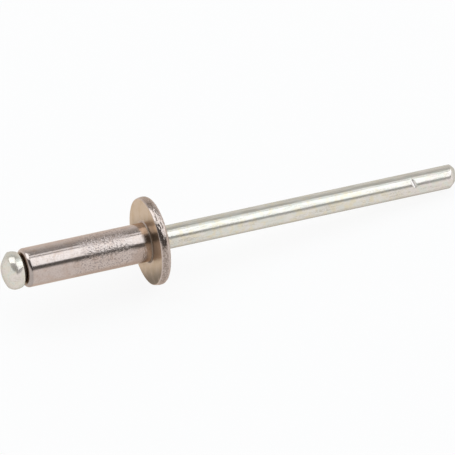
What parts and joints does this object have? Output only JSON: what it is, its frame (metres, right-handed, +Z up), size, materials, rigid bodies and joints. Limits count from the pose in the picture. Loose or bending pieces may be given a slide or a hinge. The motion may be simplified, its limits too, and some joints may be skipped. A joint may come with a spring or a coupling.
{
  "type": "blind rivet",
  "caption": "Open-end blind rivet before setting: domed flange and hollow shank on a headed mandrel, whose long stem a riveting tool grips, pulls and snaps.",
  "frame": {"origin": "on the surface that the rivet lies on, under the middle of its length", "axes": "+X from the mandrel's head to its tail, +Z up; the rivet's own axis leans 5.84 degrees down towards the tail, as it lies on its flange and its tail"},
  "size_m": [0.0393, 0.0072, 0.0072],
  "materials": {
    "body_metal": "bright cold-formed nickel-copper alloy, slightly brown, finely pitted along the shank",
    "mandrel_steel": "drawn steel wire with bright zinc plating, faintly yellow-green"
  },
  "bodies": {
    "root": {"rivet_body": "body_metal", "mandrel": "mandrel_steel"}
  },
  "joints": []
}
